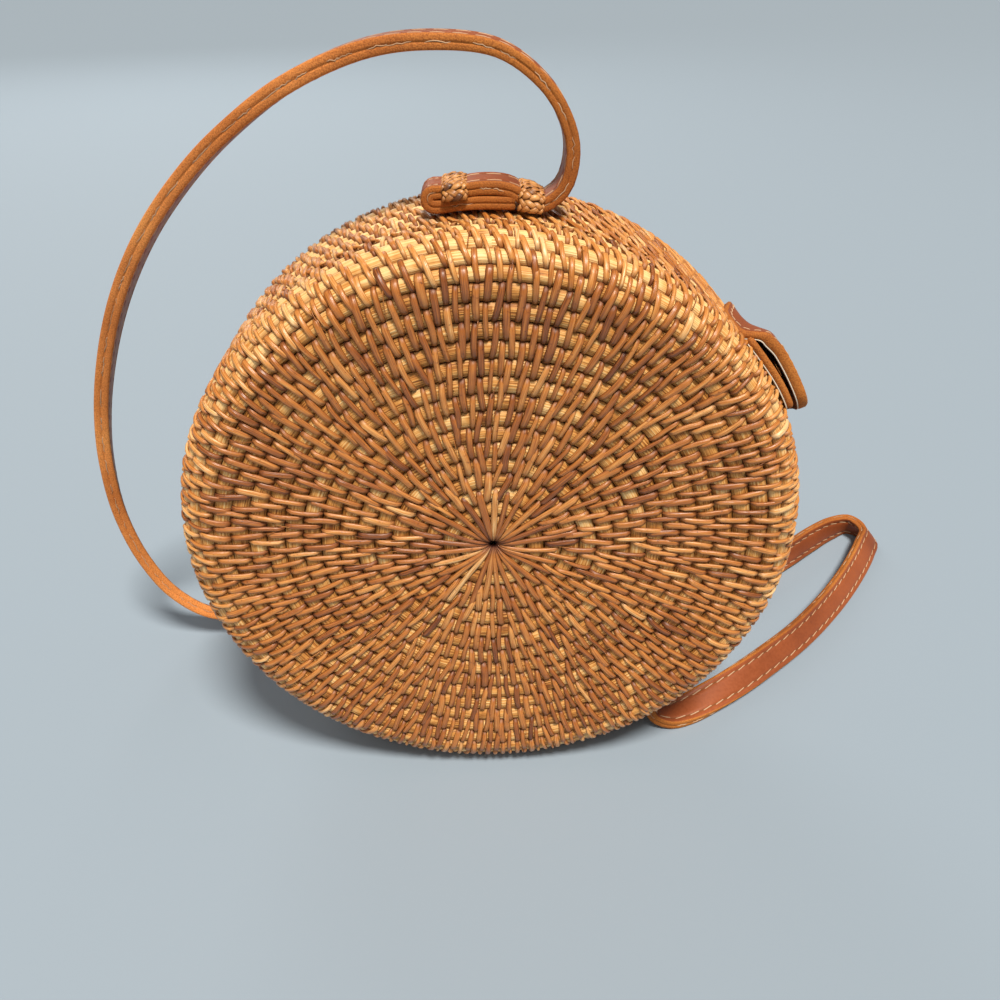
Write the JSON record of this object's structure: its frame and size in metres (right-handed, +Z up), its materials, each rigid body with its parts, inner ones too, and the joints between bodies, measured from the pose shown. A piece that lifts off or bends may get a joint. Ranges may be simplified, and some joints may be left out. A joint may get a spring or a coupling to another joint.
{
  "type": "round rattan shoulder bag",
  "caption": "Round shoulder bag of coiled rattan that opens on a woven hinge, with a leather strap tied on by plaited knots and a leather closure flap.",
  "frame": {"origin": "on the ground under the bag, at the flat of the rim that it stands on, in the middle of its depth", "axes": "+X to the right seen from the front face, +Y from the front face to the back face along the bag's axis, +Z up"},
  "size_m": [0.3531, 0.1519, 0.245],
  "materials": {
    "rattan": "coiled natural rattan, satin",
    "plait": "plaited rattan strips, satin",
    "leather": "smooth reddish brown leather with cut edges",
    "snap": "plain"
  },
  "bodies": {
    "back": {"back_shell": "rattan", "strap": "leather", "knot_fold_1": "plait", "knot_exit_1": "plait", "knot_fold_2": "plait", "knot_exit_2": "plait", "closure_flap": "leather", "hinge_pin": "rattan", "hinge_loop_back_1": "rattan", "hinge_loop_back_2": "rattan"},
    "front": {"front_shell": "rattan", "closure_base": "leather", "snap_stud": "snap", "hinge_loop_front": "rattan"}
  },
  "joints": [
    {"name": "front_opening", "type": "hinge", "parent": "back", "child": "front", "pos_m": [-0.0838, -0.014, 0.03912], "axis": [0.5878, 0, -0.809], "range_deg": [0, 90]}
  ]
}
